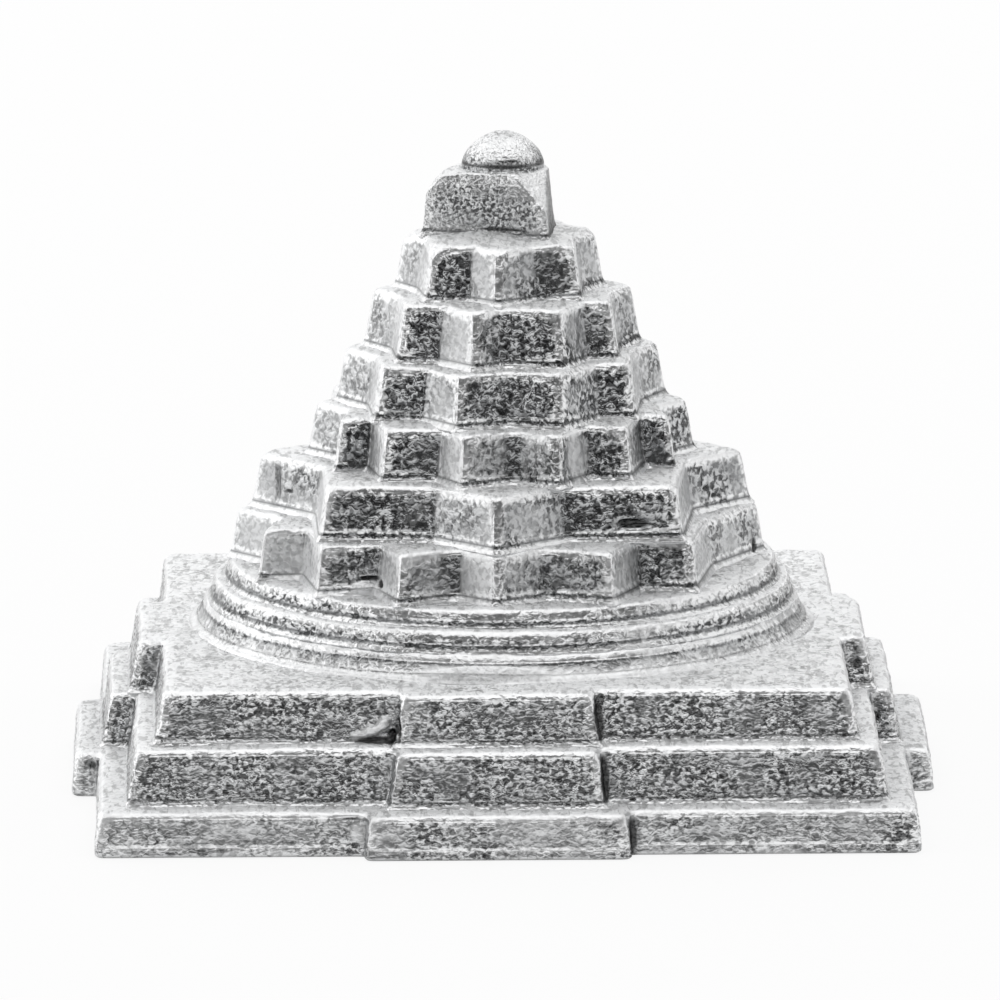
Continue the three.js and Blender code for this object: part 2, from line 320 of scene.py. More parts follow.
FAULTS = {
    "bhupura_lower_step": [
        fault((-7.2, -18.8, 1.75), (0.55, 0.6, 0.12), swell=-0.10, stain_and_painted_light=0.7),
        fault((-6.9, -18.9, 1.10), (0.35, 0.8, 0.50), swell=0.10, stain_and_painted_light=-0.6),
        fault((-7.0, -18.9, 0.55), (0.22, 0.6, 0.16), swell=-0.12, stain_and_painted_light=0.9),
        fault((-6.2, -18.9, 1.40), (0.30, 0.6, 0.25), swell=0.07, stain_and_painted_light=-0.4),
        fault((-19.2, -6.2, 1.50), (0.20, 0.5, 0.24), swell=-0.12, stain_and_painted_light=0.8),
        fault((18.3, -5.0, 1.20), (0.25, 2.0, 0.22), swell=-0.10, stain_and_painted_light=0.8),
        # Painted shadow in the corner beside the front gate.
        fault((5.65, -19.1, 0.9), (0.28, 0.7, 1.1), stain_and_painted_light=0.8),
    ],
    "bhupura_middle_step": [
        fault((17.35, -4.9, 3.3), (0.2, 0.8, 0.25), swell=-0.10, stain_and_painted_light=0.9),
        # Painted shadow in the corner beside the front gate.
        fault((4.4, -17.6, 3.3), (0.28, 0.7, 1.2), stain_and_painted_light=1.2),
    ],
    "bhupura_upper_step": [
        fault((-6.0, -16.0, 4.79), (0.98, 0.6, 0.13), swell=-0.2, stain_and_painted_light=1.8),
        fault((-4.98, -16.3, 5.30), (0.10, 0.8, 0.55), swell=-0.2, stain_and_painted_light=1.5),
        fault((-5.25, -16.0, 5.05), (0.10, 0.6, 0.28), swell=-0.15, stain_and_painted_light=1.2),
        fault((-6.75, -15.9, 5.04), (0.42, 0.8, 0.16), swell=0.30, stain_and_painted_light=-1.0),
        fault((-6.15, -15.9, 5.26), (0.42, 0.8, 0.24), swell=0.42, stain_and_painted_light=-1.0),
        fault((-5.6, -15.9, 5.58), (0.36, 0.8, 0.32), swell=0.45, stain_and_painted_light=-1.0),
        # Painted shadow in the corner beside the front gate.
        fault((4.15, -16.3, 5.8), (0.28, 0.7, 1.1), stain_and_painted_light=1.2),
        fault((-14.6, -0.5, 7.05), (0.28, 0.10, 0.25), swell=-0.15, stain_and_painted_light=1.2),
        fault((16.5, -4.6, 5.8), (0.3, 0.8, 0.3), swell=-0.12, stain_and_painted_light=0.9),
        fault((16.4, -4.6, 6.5), (0.12, 0.8, 0.2), swell=-0.08, stain_and_painted_light=0.8),
    ],
    "lower_girdle": [
        fault((-1.5, -14.45, 7.45), (4.5, 0.8, 0.45), swell=0.14, stain_and_painted_light=-0.9),
    ],
    "sixteen_petal_tier": [
        fault((-6.45, -9.1, 10.45), (0.72, 1.0, 0.30), swell=0.34, stain_and_painted_light=-1.0),
        fault((-6.30, -9.1, 10.93), (0.42, 1.0, 0.09), swell=-0.16, stain_and_painted_light=1.4),
        fault((-5.72, -9.0, 10.70), (0.09, 1.0, 0.20), swell=-0.14, stain_and_painted_light=1.3),
        fault((11.85, -0.2, 10.6), (0.10, 0.9, 0.35), swell=-0.16, stain_and_painted_light=1.2),
        fault((-10.1, -5.6, 11.3), (1.2, 0.9, 1.4), stain_and_painted_light=-0.65),
        fault((-1.3, -11.0, 11.3), (0.9, 0.9, 1.3), stain_and_painted_light=-0.35),
    ],
    "eight_petal_tier": [
        fault((5.95, -8.4, 13.33), (0.78, 1.0, 0.22), swell=-0.2, stain_and_painted_light=1.4),
        fault((5.1, -8.5, 13.35), (0.10, 1.0, 0.22), swell=0.1, stain_and_painted_light=-0.8),
        fault((-9.95, -1.3, 13.55), (0.24, 0.9, 0.09), swell=-0.12, stain_and_painted_light=1.0),
        fault((-10.45, -0.85, 13.8), (0.11, 0.8, 0.95), swell=-0.10, stain_and_painted_light=0.6),
        fault((9.56, -1.45, 13.6), (0.20, 0.9, 0.12), swell=-0.12, stain_and_painted_light=1.1),
        fault((9.95, -1.05, 13.2), (0.18, 0.9, 0.12), swell=-0.12, stain_and_painted_light=1.1),
    ],
    "fourteen_corner_tier": [
        fault((-2.4, -7.9, 16.3), (0.75, 0.8, 1.3), stain_and_painted_light=-0.4),
        fault((3.4, -7.5, 16.3), (0.9, 0.9, 1.3), stain_and_painted_light=-0.8),
    ],
    "central_triangle": [
        # Painted shade on the triangle's right face.
        fault((2.5, -0.2, 26.8), (0.6, 3.6, 3.2), stain_and_painted_light=0.65),
        fault((0.1, -1.8, 25.95), (1.3, 0.8, 0.08), swell=-0.06, stain_and_painted_light=1.0),
    ],
    "bindu_cap": [
        # Painted shade along the front of the bindu's neck and on both its sides.
        fault((0.1, -1.5, 28.92), (1.35, 0.9, 0.20), stain_and_painted_light=0.62),
        fault((0.5, -1.6, 29.10), (0.75, 0.6, 0.07), stain_and_painted_light=0.5),
        fault((-1.75, 0.2, 29.1), (0.45, 1.5, 0.7), stain_and_painted_light=0.4),
        fault((2.0, 0.2, 29.2), (0.5, 1.5, 0.8), stain_and_painted_light=0.5),
    ],
}
print("faults and stains:", sum(len(each) for each in FAULTS.values()))

# %% [markdown]
# A grid becomes a mesh of quads between neighbouring rings, closed at each end by a fan of
# triangles round a pole. Faces could be added one by one, but whole arrays of point numbers are
# much faster for half a million points. A mesh can keep numbers per point, here called marks, and
# the finish reads them.


# %% From a grid of points to a mesh
def closed_faces(levels, count):
    """The quads between neighbouring rings, and a fan at each end to a pole. The poles are the
    two points after the grid's own."""
    here = np.arange(levels * count).reshape(levels, count)
    beside = np.roll(here, -1, 1)
    quads = np.stack([here[:-1], beside[:-1], beside[1:], here[1:]], -1).reshape(-1, 4)
    low_pole, high_pole = levels * count, levels * count + 1
    low = np.stack([beside[0], here[0], np.full(count, low_pole)], -1)
    high = np.stack([here[-1], beside[-1], np.full(count, high_pole)], -1)
    return quads, np.concatenate([low, high])


def fill_mesh(mesh, points, quads, triangles):
    """Puts points, in metres, and faces into a mesh as whole arrays."""
    mesh.vertices.add(len(points))
    mesh.vertices.foreach_set("co", points.astype(np.float32).ravel())
    loops = np.concatenate([quads.ravel(), triangles.ravel()]).astype(np.int32)
    sizes = np.concatenate([np.full(len(quads), 4), np.full(len(triangles), 3)])
    starts = np.concatenate([[0], np.cumsum(sizes)[:-1]]).astype(np.int32)
    mesh.loops.add(len(loops))
    mesh.loops.foreach_set("vertex_index", loops)
    mesh.polygons.add(len(sizes))
    mesh.polygons.foreach_set("loop_start", starts)
    mesh.polygons.foreach_set("use_smooth", np.ones(len(sizes), bool))
    mesh.update(calc_edges=True)
    mesh.validate()


def layer_object(name, grid, marks):
    """An object whose mesh is the closed grid, in metres. Each mark is one number per point."""
    levels, count = grid.shape[:2]
    poles = np.stack([grid[0].mean(0), grid[-1].mean(0)])
    points = np.concatenate([grid.reshape(-1, 3), poles]) * MM
    mesh = bpy.data.meshes.new(name)
    fill_mesh(mesh, points, *closed_faces(levels, count))
    for mark, values in marks.items():
        ends = [values[0].mean(), values[-1].mean()]
        attribute = mesh.attributes.new(mark, "FLOAT", "POINT")
        attribute.data.foreach_set("value", np.concatenate([values.ravel(), ends]).astype(np.float32))
    piece = bpy.data.objects.new(name, mesh)
    bpy.context.scene.collection.objects.link(piece)
    return piece


# %% [markdown]
# Each layer's mesh keeps four marks: tread, how much the surface faces up; edge, how much it is an
# edge that hands have rubbed, which also carries painted highlights; shade_and_stain, the painted
# shade in corners, in creases and along the feet, and the stains of the faults; and
# tone_and_painted_light, how bright it was scraped, together with painted light on the flanks and
# on the lowest step and the bright spots of the faults. They belong to the mesh, so they look the
# same from any side.
#
# Along each foot runs a thin painted highlight, for the light that the fillet catches, with a
# painted dark line of shade above it, where two layers meet; the lowest step has a painted
# contact shadow along its foot instead. The flanks of the teeth were scraped when the casting was
# dressed, which took off SCRAPED_OFF of the unevenness, and they are painted lighter than their
# fronts, most of all on the left, as the lamps at the sides light them. Each pair of painted
# lights is for a slanting and for a square flank. The edge mark is weaker by SIDES_DULL where the
# surface faces the sides.

# %% The skin of a layer and its marks
FOOT_LINE = 0.13
# Painted light on flanks that face left and right, from the lamps at the sides, brighter on the left.
LEFT_FLANK_LIGHT = (0.4, 0.35)
RIGHT_FLANK_LIGHT = (0.14, 0.3)
SCRAPED_OFF = 0.75
SIDES_DULL = 0.3
EDGE = dict(reach=0.36, full=0.06)
CREASE = dict(reach=0.15, full=0.03)
TONE_PATCH = 3.0


def painted_flank_light(normal):
    """The painted light on the flanks, as the lamps at the sides light them: on either side, a smooth
    step where the surface faces that side slantingly, and another where it faces it squarely."""
    tone_and_painted_light = 0
    for side, (slanting, square) in ((-1, LEFT_FLANK_LIGHT), (1, RIGHT_FLANK_LIGHT)):
        facing = side * normal[..., 0]
        tone_and_painted_light = tone_and_painted_light + slanting * smooth_step(facing, 0.4, 0.6) + square * smooth_step(facing, 0.8, 0.95)
    return tone_and_painted_light


def line_at(risen, height, width):
    """1 on a line at a height above the seat, and exp(-(d / width)^2) at a distance d from it."""
    return np.exp(-(((risen - height) / width) ** 2))


def cast_skin(name, grid, spacing, seed, tone_and_painted_light=0.0, grain=1.0, painted_foot_light=1.0, scraping_and_flank_light=0.0):
    """A layer's grid with the unevenness and the faults of its casting pushed out along its
    normals, made an object. Under the foot nothing is pushed, so the layer stays on its seat, and
    edges and creases fade out there, because the fillet isn't one. Grain is the share of the
    unevenness that the layer has, and scraping_and_flank_light its share of the scraping and of the
    painted light on the flanks. A painted_foot_light of 1 paints a highlight along the foot with a
    dark line of painted shade above it, for a layer on another one, and 0 paints a contact shadow
    along the foot, for the layer on the floor."""
    normal = grid_normals(grid)
    up = np.clip(normal[..., 2], 0, 1)
    sideways = smooth_step(np.abs(normal[..., 0]), 0.35, 0.7)
    risen = np.clip(grid[..., 2] - SEAT[name], 0, None)
    edge = roundness(grid, normal, spacing, **EDGE) * smooth_step(risen, 0.2, 0.5)
    crease = -roundness(grid, normal, spacing, **CREASE) * smooth_step(risen, 0.25, 0.5)
    swell, stain_and_painted_light = fault_field(grid, FAULTS.get(name, ()))
    uneven = grain * (1 - SCRAPED_OFF * scraping_and_flank_light * sideways)
    for step, size in enumerate((WAVE, DENT, GRAIN)):
        swell = swell + uneven * size["height"] * waves(grid, size["length"], seed + step)
    grid = grid + normal * (swell * smooth_step(risen, 0, 0.3))[..., None]
    # Rubbed edges, which also carry a painted highlight, a little brighter where they face up, as the
    # light falls from above.
    wear_and_painted_light = np.clip(edge, 0, 1) * (0.7 + 0.3 * smooth_step(up, 0.1, 0.35))
    # Painted light and shade along the foot: a contact shadow where the layer stands on the floor, else
    # a highlight on the fillet with a dark line of shade above it.
    painted_contact_shadow = (1 - painted_foot_light) * line_at(risen, 0, FOOT_LINE)
    painted_foot_shade = painted_foot_light * line_at(risen, 2 * FOOT_LINE, 0.6 * FOOT_LINE)
    painted_foot_highlight = painted_foot_light * line_at(risen, 0, FOOT_LINE)
    # Painted shade in creases and along the feet, added to the stains of the faults.
    painted_shade_and_stains = 0.5 * np.clip(crease, 0, 1) + np.clip(stain_and_painted_light, 0, 2) + 0.6 * (painted_contact_shadow + painted_foot_shade)
    # Painted light on the flanks, from the lamps at the sides, added to the tone and its random patches.
    patches_and_painted_light = tone_and_painted_light + scraping_and_flank_light * painted_flank_light(normal) + 0.08 * waves(grid, TONE_PATCH, seed + 5)
    marks = {
        "tread": up,
        "edge": np.maximum(wear_and_painted_light, painted_foot_highlight) * (1 - SIDES_DULL * sideways),
        "shade_and_stain": painted_shade_and_stains,
        "tone_and_painted_light": patches_and_painted_light + np.clip(-stain_and_painted_light, 0, 1),
    }
    piece = layer_object("cast_" + name, grid, marks)
    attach(piece, "root")
    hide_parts(name)
    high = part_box(name)[1]
    made = np.abs(grid[..., :2]).max(axis=(0, 1))
    print(f"{name}: {len(piece.data.vertices)} points, reaches {made.round(2)} mm of "
          f"{round(high.x / MM, 2)}, {round(high.y / MM, 2)}")
    return piece


# %% [markdown]
# The bhupura is the yantra's square enclosure: three steps, each with a gate in the middle of
# every side. On this casting the front gates sit a little to the left of the middle, and each
# side's gate stands out by its own amount: front, right, back, left. Half is half the square's
# side, and gate half a gate's width, in millimetres. The lowest step's tone is painted light, a
# little lighter, for the glow of the floor on it; its foot is rounded, and it has no fillet,
# because nothing is under it.

# %% The three square steps
STEP_SPACING = 0.12
WALL_SPACING = 0.085
TREAD_SPACING = 0.2
WORN_BELOW_RIM = 0.5
STEP_RIM = (0.52, 0.38)
STEP_SOFTNESS = (0.24, 0.42)
FRONT_GATE_SHIFT = -0.48
OUT_OF_SQUARE = 0.35
STEPS = {
    # The lowest step's tone of 0.28 is painted light.
    "bhupura_lower_step": dict(
        half=18.68, draft=0.22, gate=5.95, out=(0.94, 1.22, 0.94, 1.16), inner_share=0.9, tone_and_painted_light=0.28,
        fillet=0.0, foot_round=0.15, sink=0.0),
    "bhupura_middle_step": dict(
        half=17.06, draft=0.36, gate=4.65, out=(0.95, 1.15, 0.95, 1.25), inner_share=0.9, tone_and_painted_light=0.0,
        fillet=0.25, foot_round=0.0, sink=0.1),
    "bhupura_upper_step": dict(
        half=15.74, draft=0.38, gate=4.4, out=(0.94, 1.2, 0.94, 1.2), inner_share=0.66, tone_and_painted_light=0.0,
        fillet=0.25, foot_round=0.0, sink=0.1),
}


def step_corners(half, gate, out):
    """The corners of a square with a gate standing out of each side, anticlockwise. Its left side
    runs outwards towards the back, by OUT_OF_SQUARE over its whole length."""
    sides = []
    for side, shift in enumerate((FRONT_GATE_SHIFT, 0, 0, 0)):
        left, right, face = shift - gate, shift + gate, -half - out[side]
        front = np.array([(-half, -half), (left, -half), (left, face), (right, face), (right, -half)])
        cosine, sine = math.cos(side * math.pi / 2), math.sin(side * math.pi / 2)
        sides.append(front @ np.array([(cosine, sine), (-sine, cosine)]))
    corners = np.concatenate(sides)
    corners[:, 0] -= OUT_OF_SQUARE * (corners[:, 0] < -gate) * (corners[:, 1] / half + 1) / 2
    return corners


def layer_grid(name, corners, draft, fillet, rim, sink, inner_share, spacing, softness, rise=0.0,
               foot_round=0.0):
    """A whole layer: its outline carried up its wall section, and its tread. The softness of the
    corners goes from the wall's to the rim's over the last WORN_BELOW_RIM of the height."""
    height = TOP[name] - SEAT[name]
    inset, z = wall_section(height, draft, fillet, rim, sink, WALL_SPACING, foot_round)
    worn = smooth_step(z, height - rim[1] - WORN_BELOW_RIM, height)
    rings = outline_rings(corners, inset, spacing, softness[0] + (softness[1] - softness[0]) * worn)
    return with_tread(rings, SEAT[name] + z, inner_share, TREAD_SPACING, rise)


pieces = {}
for number, (name, step) in enumerate(STEPS.items()):
    grid = layer_grid(
        name, step_corners(step["half"], step["gate"], step["out"]),
        draft=step["draft"], fillet=step["fillet"], rim=STEP_RIM, sink=step["sink"],
        inner_share=step["inner_share"], spacing=STEP_SPACING, softness=STEP_SOFTNESS,
        foot_round=step["foot_round"])
    pieces[name] = cast_skin(name, grid, STEP_SPACING, seed=10 * number, tone_and_painted_light=step["tone_and_painted_light"],
                             painted_foot_light=float(step["fillet"] > 0))

# %% [markdown]
# The three girdles are round mouldings. They could be spun round the axis, but they use the same
# wall section as the steps, along a circle, so that their grids are like all the others. Their
# flanks are painted a little darker than their fronts, as painted shade, so their share of
# scraping and flank light is below 0.

# %% The three girdles
GIRDLE_SPACING = 0.12
GIRDLE_SOFTNESS = (0.3, 0.3)
# Below 0: painted shade on the girdles' flanks, and a little more unevenness there.
GIRDLE_FLANK_SCRAPING_AND_SHADE = -0.15
CIRCLE = np.arange(0, 360, 2.5)
GIRDLES = {
    "lower_girdle": dict(
        radius=14.0, draft=0.36, fillet=0.34, rim=(0.42, 0.46), inner_share=0.93, tone_and_painted_light=0.2),
    "middle_girdle": dict(
        radius=13.52, draft=0.1, fillet=0.2, rim=(0.34, 0.36), inner_share=0.92, tone_and_painted_light=0.0),
    "upper_girdle": dict(
        radius=12.82, draft=0.1, fillet=0.2, rim=(0.34, 0.36), inner_share=0.78, tone_and_painted_light=0.0),
}

for number, (name, girdle) in enumerate(GIRDLES.items()):
    grid = layer_grid(
        name, on_bearing(girdle["radius"], CIRCLE), draft=girdle["draft"], fillet=girdle["fillet"],
        rim=girdle["rim"], sink=0.1, inner_share=girdle["inner_share"], spacing=GIRDLE_SPACING,
        softness=GIRDLE_SOFTNESS)
    pieces[name] = cast_skin(name, grid, GIRDLE_SPACING, seed=100 + 10 * number, tone_and_painted_light=girdle["tone_and_painted_light"],
                             scraping_and_flank_light=GIRDLE_FLANK_SCRAPING_AND_SHADE)

# %% [markdown]
# Each tier is a star with tooth and notch in turn. The casting isn't quite regular, so the
# bearings of the corners that the picture shows are given one by one, in whole degrees from the
# front towards the right, and the teeth at the back share out what is left. A tier's teeth reach
# less far at the front and the sides than between them, so their tips have three radii. The
# treads of the upper tiers climb a little towards the middle. Each tooth's top corner is worn to a
# small flat, some tiers sit a little to one side, by shift, and the lowest came out brightest.

# %% The six star tiers
TIER_SPACING = 0.09
TIER_RIM = (0.42, 0.32)
TIER_FILLET = 0.2
TIER_SOFTNESS = (0.22, 0.3)
TIP_ANGLES = (0, 25, 90)
TIP_SLANT = 1.25
TIERS = {
    "sixteen_petal_tier": dict(
        teeth=16, tips=(11.75, 12.42, 12.3), notch=10.4, draft=0.3, inner_share=0.68, rise=0.0,
        worn=0.16, shift=-0.2, tone_and_painted_light=0.12,
        seen=(-90, -76, -63, -59, -42, -32, -22, -11, -1, 12, 24, 38, 46, 68, 92)),
    "eight_petal_tier": dict(
        teeth=8, tips=(11.1, 11.55, 11.4), notch=8.9, draft=0.36, inner_share=0.6, rise=0.0,
        worn=0.4, shift=0.0, tone_and_painted_light=0.0,
        seen=(-91, -70, -46, -21, -2, 18, 44, 74, 92)),
    "fourteen_corner_tier": dict(
        teeth=14, tips=(8.96, 8.96, 8.8), notch=7.4, draft=0.34, inner_share=0.68, rise=0.22,
        worn=0.22, shift=0.0, tone_and_painted_light=0.0,
        seen=(-90, -76, -59, -55, -38, -23, -12, 4, 16, 32, 40, 60, 62, 78, 92)),
    "outer_ten_corner_tier": dict(
        teeth=10, tips=(7.56, 7.56, 7.45), notch=6.3, draft=0.36, inner_share=0.64, rise=0.26,
        worn=0.22, shift=0.04, tone_and_painted_light=0.0,
        seen=(-90, -70, -50, -34, -16, 1, 20, 43, 52, 76, 98)),
    "inner_ten_corner_tier": dict(
        teeth=10, tips=(6.28, 6.28, 6.18), notch=5.15, draft=0.38, inner_share=0.55, rise=0.16,
        worn=0.22, shift=0.09, tone_and_painted_light=0.0,
        seen=(-92, -70, -49, -34, -13, 0, 24, 45, 54, 76, 98)),
    "eight_corner_tier": dict(
        teeth=8, tips=(4.72, 4.72, 4.6), notch=3.7, draft=0.36, inner_share=0.45, rise=0.3,
        worn=0.5, shift=-0.05, tone_and_painted_light=0.0,
        seen=(-96, -70, -44, -22, -2, 27, 48, 72, 98)),
}


def star_corners(teeth, tips, notch, seen):
    """Tooth and notch corners in turn: the seen ones at their own bearings, and the others in
    equal steps from the last of them round the back to the first. The tips' radii are given at
    TIP_ANGLES from the line through the front and the back."""
    unseen = np.linspace(seen[-1], seen[0] + 360, 2 * teeth - len(seen) + 2)[1:-1]
    bearing = np.concatenate([seen, unseen])
    sideways = np.degrees(np.arcsin(np.abs(np.sin(np.radians(bearing)))))
    is_tooth = np.arange(2 * teeth) % 2 == 0
    return on_bearing(np.where(is_tooth, np.interp(sideways, TIP_ANGLES, tips), notch), bearing)


def worn_tips(grid, tips, top, worn, seed):
    """Each tooth's top corner shaved by a plane that starts TIP_SLANT * worn behind the tip and
    comes out worn below it, which leaves a small bright triangle there."""
    sizes = worn * np.random.default_rng(seed).uniform(0.75, 1.15, len(tips))
    for tip, size in zip(tips, sizes):
        radius = np.linalg.norm(tip)
        x, y = tip * (1 - TIP_SLANT * size / radius)
        grid = shaved(grid, (x, y, top), (*tip / radius, TIP_SLANT), softness=0.03)
    return grid


for number, (name, tier) in enumerate(TIERS.items()):
    corners = star_corners(tier["teeth"], tier["tips"], tier["notch"], tier["seen"])
    grid = layer_grid(
        name, corners, draft=tier["draft"], fillet=TIER_FILLET, rim=TIER_RIM, sink=0.1,
        inner_share=tier["inner_share"], spacing=TIER_SPACING, softness=TIER_SOFTNESS,
        rise=tier["rise"])
    grid = worn_tips(grid, corners[::2], TOP[name], tier["worn"], seed=number) + (tier["shift"], 0, 0)
    pieces[name] = cast_skin(name, grid, TIER_SPACING, seed=200 + 10 * number, tone_and_painted_light=tier["tone_and_painted_light"],
                             scraping_and_flank_light=1.0)

# %% [markdown]
# The central triangle is the least regular piece. Its broad face looks a little to the left, its
# top corners are chipped off flat, and it narrows to a blunt end at the back. It could be cut from
# a block with booleans, but then its edges would be sharp. It is carried up like the other layers
# instead, and then shaved by one plane on the right and by two on the left.

# %% The central triangle
CROWN_SPACING = 0.06
CROWN_CORNERS = np.array([(-3.4, -0.6), (1.98, -2.25), (2.3, 0.7), (1.3, 2.8), (-1.3, 2.6), (-3.2, 0.3)])

name = "central_triangle"
grid = layer_grid(name, CROWN_CORNERS, draft=0.3, fillet=0.22, rim=(0.22, 0.2), sink=0.1,
                  inner_share=0.5, spacing=CROWN_SPACING, softness=(0.13, 0.2))
grid = shaved(grid, (1.2, -2.0, 27.85), (0.5, -0.6, 0.62))
grid = shaved(grid, (-2.75, -0.2, 28.35), (-0.75, 0.05, 0.6))
grid = shaved(grid, (-1.9, 0.0, 28.5), (-0.25, 0.0, 0.97))
pieces[name] = cast_skin(name, grid, CROWN_SPACING, seed=300, tone_and_painted_light=0.1, grain=0.7)

# %% [markdown]
# The bindu is the drop at the top: a dome that is blunter than a cone and sharper than a ball, on
# a very low wall. Its section is a superellipse: with a fullness of 1 it would be a cone, and with
# a fullness of 2 a ball.

# %% The bindu
BINDU = dict(radius=1.93, wall=0.12, fullness=1.75, centre=(0.12, 0.4))


def bindu_grid(name, radius, wall, fullness, centre, spacing):
    """Rings at radius r and height z with (r / R)^fullness + (z / H)^fullness = 1 over the wall.
    Below, straight rings."""
    height = TOP[name] - SEAT[name]
    low = np.linspace(-0.1, wall, int((wall + 0.1) / spacing) + 3)
    angle = np.linspace(0, math.pi / 2, int(1.8 * radius / spacing))[1:-1]
    r = np.concatenate([np.full(len(low), radius), radius * np.cos(angle) ** (2 / fullness)])
    z = np.concatenate([low, wall + (height - wall) * np.sin(angle) ** (2 / fullness)])
    bearing = np.linspace(0, 360, int(2 * math.pi * radius / spacing), endpoint=False)
    plan = r[:, None, None] * on_bearing(1.0, bearing)[None] + centre
    heights = np.broadcast_to((SEAT[name] + z)[:, None, None], plan.shape[:2] + (1,))
    return np.concatenate([plan, heights], 2)


name = "bindu_cap"
grid = bindu_grid(name, spacing=CROWN_SPACING, **BINDU)
pieces[name] = cast_skin(name, grid, CROWN_SPACING, seed=310, tone_and_painted_light=-0.2, grain=0.5)

# %% [markdown]
# The finish. Each node's output is wrapped in a small class, so that the maths of a pattern can
# be written as a plain expression: wall + (bright - wall) * mask adds the Math nodes by itself.


# %% Shader maths as Python expressions
class Number:
    """A socket that carries a number. Its sums and products are Math nodes."""

    def __init__(self, shader, socket):
        self.shader, self.socket = shader, socket

    def maths(self, operation, *others, clamp=False):
        """A Math node that works on this number and the others, in turn."""
        values = dict(enumerate((self, *others)))
        return self.shader.node("ShaderNodeMath", dict(operation=operation, use_clamp=clamp), values)

    def __add__(self, other):
        return self.maths("ADD", other)

    def __sub__(self, other):
        return self.maths("SUBTRACT", other)

    def __rsub__(self, other):
        return self.shader.node("ShaderNodeMath", dict(operation="SUBTRACT"), {0: other, 1: self})

    def __mul__(self, other):
        return self.maths("MULTIPLY", other)

    def held(self):
        """The number held between 0 and 1."""
        return self.maths("ADD", 0.0, clamp=True)

    __radd__, __rmul__ = __add__, __mul__


class Shader:
    """A material's nodes, made one call at a time."""

    def __init__(self, name):
        self.material = bpy.data.materials.new(name)
        self.material.use_nodes = True
        self.tree = self.material.node_tree
        self.tree.nodes.clear()

    def node(self, kind, settings=None, values=None, output=0):
        """Adds a node: its settings first, then each socket's value or link by name or number."""
        made = self.tree.nodes.new(kind)
        for setting, value in (settings or {}).items():
            setattr(made, setting, value)
        for key, value in (values or {}).items():
            if isinstance(value, Number):
                self.tree.links.new(value.socket, made.inputs[key])
            else:
                made.inputs[key].default_value = value
        return Number(self, made.outputs[output]) if made.outputs else made

    def mark(self, name):
        """One of the numbers that the mesh keeps per point."""
        return self.node("ShaderNodeAttribute", dict(attribute_name=name), output="Fac")

    def blend(self, factor, first, second):
        """A mix of two colours, each given as three numbers or as a link. Inputs 6 and 7 and
        output 2 are the Mix node's colours."""
        ends = [end if isinstance(end, Number) else (*end, 1.0) for end in (first, second)]
        return self.node("ShaderNodeMix", dict(data_type="RGBA"),
                         {"Factor": factor, 6: ends[0], 7: ends[1]}, output=2)

    def smooth(self, value, low, high):
        """0 below low, 1 above high, and a smooth step between them."""
        return self.node("ShaderNodeMapRange", dict(interpolation_type="SMOOTHSTEP"),
                         {"Value": value, "From Min": low, "From Max": high})


# %% [markdown]
# White metal is bright where it has been rubbed, on the treads, the rims and the tooth edges, and
# greyer where the mould's skin is left, on the walls. Part of this is painted light and shade:
# surfaces that face up are painted brighter, as the light falls from above; the edges carry
# painted highlights and the flanks painted light; the walls are partly painted shade, and the
# corners, creases and feet have painted shade. One metal shader does both: a mask of rubbed metal
# and painted light mixes two colours and two roughnesses. Over it lies the grain of the mould,
# specks of light and dark metal about 0.2 mm across, which also tilt the surface, so that every
# grain catches another part of the room. The grain is strong in some patches and smoothed out in
# others, and where the metal was scraped. On the level treads it is sparser and drawn out from
# front to back, the way they were brushed. Scraped metal is also a little rougher.
#
# The noises' scales are per metre, so 3700 makes grains of about a quarter of a millimetre. A
# noise keeps near its middle, 0.5, so a smooth step over NOISE_MIDDLE spreads it into a mask from
# 0 to 1. Where the grain is calmed, LEAST_GRAIN of it stays.

# %% The cast metal
# The colour of the stains and of the painted shade.
STAIN_AND_SHADE_BLACK = (0.035, 0.035, 0.035)
BRUSHING = 0.35
GRAIN_SCALE = 3700.0
WORM_SCALE = 2500.0
SAND_SCALE = 3300.0
COARSE_SCALE = 1100.0
PATCH_SCALE = 420.0
NOISE_MIDDLE = (0.38, 0.62)
LEAST_GRAIN = 0.35
DARKEST_SPECK = 0.26
LIGHTEST_SPECK = 1.85
GRIT_SHADE = 0.4
RELIEF_DEPTH = 0.17 * MM


def shaded(colour, share):
    """A colour times a share."""
    return [part * share for part in colour]


